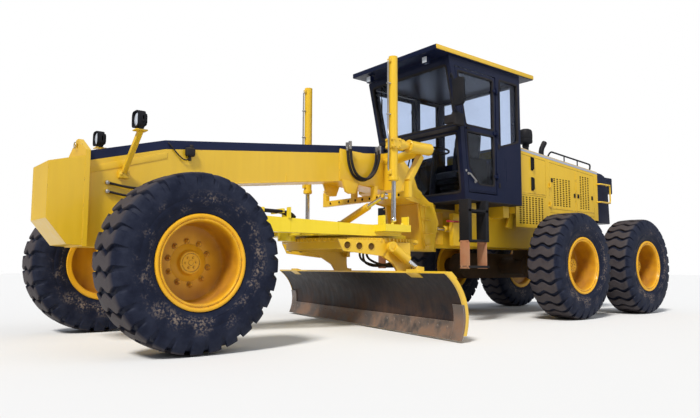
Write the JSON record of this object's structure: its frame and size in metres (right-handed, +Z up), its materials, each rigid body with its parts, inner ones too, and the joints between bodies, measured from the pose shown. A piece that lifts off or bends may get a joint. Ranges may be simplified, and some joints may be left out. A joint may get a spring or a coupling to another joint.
{
  "type": "motor grader",
  "caption": "Articulated motor grader with a long gooseneck front frame, a circle-mounted blade, a glazed cab and six lugged tyres on leaning, steered front wheels and a rear tandem.",
  "frame": {"origin": "on the ground under the middle of the machine's length and width", "axes": "+X forward, +Y the driver's left, +Z up"},
  "size_m": [8.5758, 3.93, 3.26],
  "materials": {
    "yellow_paint": "gloss",
    "rim_paint": "gloss",
    "dark_paint": "satin",
    "tyre": "matte",
    "chrome_rod": "polished",
    "tinted_glass": "clear",
    "black_plastic": "matte",
    "worn_steel": "worn",
    "cast_iron": "matte"
  },
  "bodies": {
    "rear": {"rear_frame": "yellow_paint", "rear_axle": "yellow_paint", "cab_shell": "dark_paint", "cab_roof": "yellow_paint", "cab_glass": "tinted_glass", "cab_interior": "black_plastic", "cab_steps_and_mirrors": "dark_paint", "hood": "yellow_paint", "engine": "cast_iron", "tail_shroud": "dark_paint", "engine_stacks": "dark_paint"},
    "front": {"front_frame": "yellow_paint", "frame_top_cover": "dark_paint", "front_counterweight": "yellow_paint", "headlamps": "black_plastic", "front_axle": "yellow_paint"},
    "lean_bar": {"lean_bar": "yellow_paint"},
    "tie_rod_end": {"tie_rod_end": "yellow_paint"},
    "tie_rod": {"tie_rod": "yellow_paint"},
    "drawbar_swivel": {"drawbar_swivel": "yellow_paint"},
    "drawbar": {"drawbar": "yellow_paint"},
    "circle": {"circle": "yellow_paint"},
    "blade_carrier": {"blade_carrier": "yellow_paint"},
    "blade": {"moldboard": "yellow_paint", "cutting_edge": "worn_steel", "side_shift_rod": "chrome_rod"},
    "tip_barrel": {"tip_cylinder_barrel": "yellow_paint"},
    "tip_rod": {"tip_cylinder_rod": "chrome_rod"},
    "centre_shift_rod": {"centre_shift_rod": "chrome_rod"},
    "centre_shift_barrel": {"centre_shift_barrel": "yellow_paint"},
    "lean_yoke_left": {"lean_yoke_left": "yellow_paint"},
    "knuckle_left": {"steering_knuckle_left": "yellow_paint"},
    "lift_barrel_left": {"lift_cylinder_barrel_left": "yellow_paint"},
    "lift_rod_left": {"lift_cylinder_rod_left": "chrome_rod"},
    "fold_barrel_left": {"articulation_barrel_left": "yellow_paint"},
    "fold_rod_left": {"articulation_rod_left": "chrome_rod"},
    "front_wheel_left": {"front_tyre_left": "tyre", "front_rim_left": "rim_paint"},
    "middle_wheel_left": {"middle_tyre_left": "tyre", "middle_rim_left": "rim_paint"},
    "rear_wheel_left": {"rear_tyre_left": "tyre", "rear_rim_left": "rim_paint"},
    "cab_door_left": {"cab_door_left": "dark_paint"},
    "engine_door_front_left": {"engine_door_front_left": "yellow_paint"},
    "engine_door_rear_left": {"engine_door_rear_left": "yellow_paint"},
    "lean_yoke_right": {"lean_yoke_right": "yellow_paint"},
    "knuckle_right": {"steering_knuckle_right": "yellow_paint"},
    "lift_barrel_right": {"lift_cylinder_barrel_right": "yellow_paint"},
    "lift_rod_right": {"lift_cylinder_rod_right": "chrome_rod"},
    "fold_barrel_right": {"articulation_barrel_right": "yellow_paint"},
    "fold_rod_right": {"articulation_rod_right": "chrome_rod"},
    "front_wheel_right": {"front_tyre_right": "tyre", "front_rim_right": "rim_paint"},
    "middle_wheel_right": {"middle_tyre_right": "tyre", "middle_rim_right": "rim_paint"},
    "rear_wheel_right": {"rear_tyre_right": "tyre", "rear_rim_right": "rim_paint"},
    "cab_door_right": {"cab_door_right": "dark_paint"},
    "engine_door_front_right": {"engine_door_front_right": "yellow_paint"},
    "engine_door_rear_right": {"engine_door_rear_right": "yellow_paint"}
  },
  "joints": [
    {"name": "articulation", "type": "hinge", "parent": "rear", "child": "front", "pos_m": [-0.324, 0, 1.16], "axis": [0, 0, -1], "range_deg": [-25, 25]},
    {"name": "drawbar_swing", "type": "hinge", "parent": "front", "child": "drawbar_swivel", "pos_m": [3.156, 0, 1.1], "axis": [0, 0, -1], "range_deg": [-5, 5]},
    {"name": "drawbar_lift", "type": "hinge", "parent": "drawbar_swivel", "child": "drawbar", "pos_m": [3.156, 0, 1.1], "axis": [0, 1, 0], "range_deg": [-8, 9]},
    {"name": "circle_turn", "type": "hinge", "parent": "drawbar", "child": "circle", "pos_m": [0.966, 0, 0.94], "axis": [0, 0, -1], "continuous": true},
    {"name": "blade_tip", "type": "hinge", "parent": "circle", "child": "blade_carrier", "pos_m": [0.64321, 0.06861, 0.24], "axis": [0.2079, 0.9781, 0], "range_deg": [-5, 40]},
    {"name": "blade_side_shift", "type": "slide", "parent": "blade_carrier", "child": "blade", "axis": [0.2079, 0.9781, 0], "range_m": [-0.5, 0.5]},
    {"name": "wheel_lean", "type": "hinge", "parent": "front", "child": "lean_yoke_left", "pos_m": [3.446, 0.7, 0.64], "axis": [1, 0, 0], "range_deg": [-17, 17]},
    {"name": "steering", "type": "hinge", "parent": "lean_yoke_left", "child": "knuckle_left", "pos_m": [3.446, 0.85, 0.687], "axis": [0, 0, 1], "range_deg": [-45, 45]},
    {"name": "wheel_lean_right", "type": "hinge", "parent": "front", "child": "lean_yoke_right", "pos_m": [3.446, -0.7, 0.64], "axis": [1, 0, 0], "range_deg": [-17, 17]},
    {"name": "steering_right", "type": "hinge", "parent": "lean_yoke_right", "child": "knuckle_right", "pos_m": [3.446, -0.85, 0.687], "axis": [0, 0, 1], "range_deg": [-45, 45]},
    {"name": "lean_bar_level", "type": "hinge", "parent": "lean_yoke_left", "child": "lean_bar", "pos_m": [3.304, 0.7, 0.84], "axis": [1, 0, 0], "range_deg": [-17, 17]},
    {"name": "tie_rod_end_turn", "type": "hinge", "parent": "knuckle_left", "child": "tie_rod_end", "pos_m": [3.276, 0.85, 0.5], "axis": [0, 0, 1], "range_deg": [-45, 45]},
    {"name": "tie_rod_level", "type": "hinge", "parent": "tie_rod_end", "child": "tie_rod", "pos_m": [3.276, 0.788, 0.5], "axis": [1, 0, 0], "range_deg": [-17, 17]},
    {"name": "tip_barrel_pivot", "type": "hinge", "parent": "circle", "child": "tip_barrel", "pos_m": [1.08092, 0.82923, 0.87], "axis": [0.2079, 0.9781, 0], "range_deg": [-50, 50]},
    {"name": "tip_rod_slide", "type": "slide", "parent": "tip_barrel", "child": "tip_rod", "axis": [-0.7911, 0.1681, -0.5882], "range_m": [-0.2, 0.1]},
    {"name": "lift_barrel_pivot_left", "type": "hinge", "parent": "front", "child": "lift_barrel_left", "pos_m": [1.016, 0.785, 1.975], "axis": [1, 0, 0], "range_deg": [-14, 14]},
    {"name": "lift_rod_slide_left", "type": "slide", "parent": "lift_barrel_left", "child": "lift_rod_left", "axis": [0, 0, 1], "range_m": [-0.32, 0.36]},
    {"name": "articulation_barrel_pivot_left", "type": "hinge", "parent": "rear", "child": "fold_barrel_left", "pos_m": [-0.944, 0.2, 1.15], "axis": [0, 0, 1], "range_deg": [-5, 5]},
    {"name": "articulation_rod_slide_left", "type": "slide", "parent": "fold_barrel_left", "child": "fold_rod_left", "axis": [0.9998, 0.0208, 0], "range_m": [-0.12, 0.12]},
    {"name": "front_wheel_spin_left", "type": "hinge", "parent": "knuckle_left", "child": "front_wheel_left", "pos_m": [3.446, 1.097, 0.687], "axis": [0, 1, 0], "continuous": true},
    {"name": "middle_wheel_spin_left", "type": "hinge", "parent": "rear", "child": "middle_wheel_left", "pos_m": [-1.847, 1.097, 0.687], "axis": [0, 1, 0], "continuous": true},
    {"name": "rear_wheel_spin_left", "type": "hinge", "parent": "rear", "child": "rear_wheel_left", "pos_m": [-3.601, 1.097, 0.687], "axis": [0, 1, 0], "continuous": true},
    {"name": "cab_door_left", "type": "hinge", "parent": "rear", "child": "cab_door_left", "pos_m": [-0.839, 0.741, 2.3], "axis": [0, 0, 1], "range_deg": [0, 100]},
    {"name": "engine_door_front_left", "type": "hinge", "parent": "rear", "child": "engine_door_front_left", "pos_m": [-1.454, 0.616, 1.8], "axis": [0, 0, -1], "range_deg": [0, 90]},
    {"name": "engine_door_rear_left", "type": "hinge", "parent": "rear", "child": "engine_door_rear_left", "pos_m": [-2.194, 0.616, 1.8], "axis": [0, 0, -1], "range_deg": [0, 90]},
    {"name": "lift_barrel_pivot_right", "type": "hinge", "parent": "front", "child": "lift_barrel_right", "pos_m": [1.016, -0.785, 1.975], "axis": [1, 0, 0], "range_deg": [-14, 14]},
    {"name": "lift_rod_slide_right", "type": "slide", "parent": "lift_barrel_right", "child": "lift_rod_right", "axis": [0, 0, 1], "range_m": [-0.32, 0.36]},
    {"name": "articulation_barrel_pivot_right", "type": "hinge", "parent": "rear", "child": "fold_barrel_right", "pos_m": [-0.944, -0.2, 1.15], "axis": [0, 0, 1], "range_deg": [-5, 5]},
    {"name": "articulation_rod_slide_right", "type": "slide", "parent": "fold_barrel_right", "child": "fold_rod_right", "axis": [0.9998, -0.0208, 0], "range_m": [-0.12, 0.12]},
    {"name": "front_wheel_spin_right", "type": "hinge", "parent": "knuckle_right", "child": "front_wheel_right", "pos_m": [3.446, -1.097, 0.687], "axis": [0, 1, 0], "continuous": true},
    {"name": "middle_wheel_spin_right", "type": "hinge", "parent": "rear", "child": "middle_wheel_right", "pos_m": [-1.847, -1.097, 0.687], "axis": [0, 1, 0], "continuous": true},
    {"name": "rear_wheel_spin_right", "type": "hinge", "parent": "rear", "child": "rear_wheel_right", "pos_m": [-3.601, -1.097, 0.687], "axis": [0, 1, 0], "continuous": true},
    {"name": "cab_door_right", "type": "hinge", "parent": "rear", "child": "cab_door_right", "pos_m": [-0.839, -0.741, 2.3], "axis": [0, 0, -1], "range_deg": [0, 100]},
    {"name": "engine_door_front_right", "type": "hinge", "parent": "rear", "child": "engine_door_front_right", "pos_m": [-1.454, -0.616, 1.8], "axis": [0, 0, 1], "range_deg": [0, 90]},
    {"name": "engine_door_rear_right", "type": "hinge", "parent": "rear", "child": "engine_door_rear_right", "pos_m": [-2.194, -0.616, 1.8], "axis": [0, 0, 1], "range_deg": [0, 90]},
    {"name": "centre_shift_rod_pivot", "type": "hinge", "parent": "front", "child": "centre_shift_rod", "pos_m": [0.831, 0.432, 1.455], "axis": [1, 0, 0], "range_deg": [-26, 26]},
    {"name": "centre_shift_barrel_slide", "type": "slide", "parent": "centre_shift_rod", "child": "centre_shift_barrel", "axis": [0, -0.9395, -0.3424], "range_m": [-0.2, 0.2]}
  ],
  "couplings": [
    {"joint": "wheel_lean_right", "follows": "wheel_lean", "ratio": 1},
    {"joint": "steering_right", "follows": "steering", "ratio": 1},
    {"joint": "lean_bar_level", "follows": "wheel_lean", "ratio": -1},
    {"joint": "tie_rod_end_turn", "follows": "steering", "ratio": -1},
    {"joint": "tie_rod_level", "follows": "wheel_lean", "ratio": -0.8235},
    {"joint": "tip_barrel_pivot", "follows": "blade_tip", "ratio": -0.87},
    {"joint": "tip_rod_slide", "follows": "blade_tip", "m_per_rad": -0.19},
    {"joint": "lift_barrel_pivot_left", "follows": "drawbar_swing", "ratio": 2.61},
    {"joint": "lift_rod_slide_left", "follows": "drawbar_lift", "m_per_rad": 2.14},
    {"joint": "articulation_barrel_pivot_left", "follows": "articulation", "ratio": -0.136},
    {"joint": "articulation_rod_slide_left", "follows": "articulation", "m_per_rad": 0.2091},
    {"joint": "lift_barrel_pivot_right", "follows": "drawbar_swing", "ratio": 2.61},
    {"joint": "lift_rod_slide_right", "follows": "drawbar_lift", "m_per_rad": 2.14},
    {"joint": "articulation_barrel_pivot_right", "follows": "articulation", "ratio": -0.136},
    {"joint": "articulation_rod_slide_right", "follows": "articulation", "m_per_rad": -0.2091},
    {"joint": "centre_shift_rod_pivot", "follows": "drawbar_lift", "ratio": -2.5},
    {"joint": "centre_shift_barrel_slide", "follows": "drawbar_swing", "m_per_rad": -2.13}
  ]
}
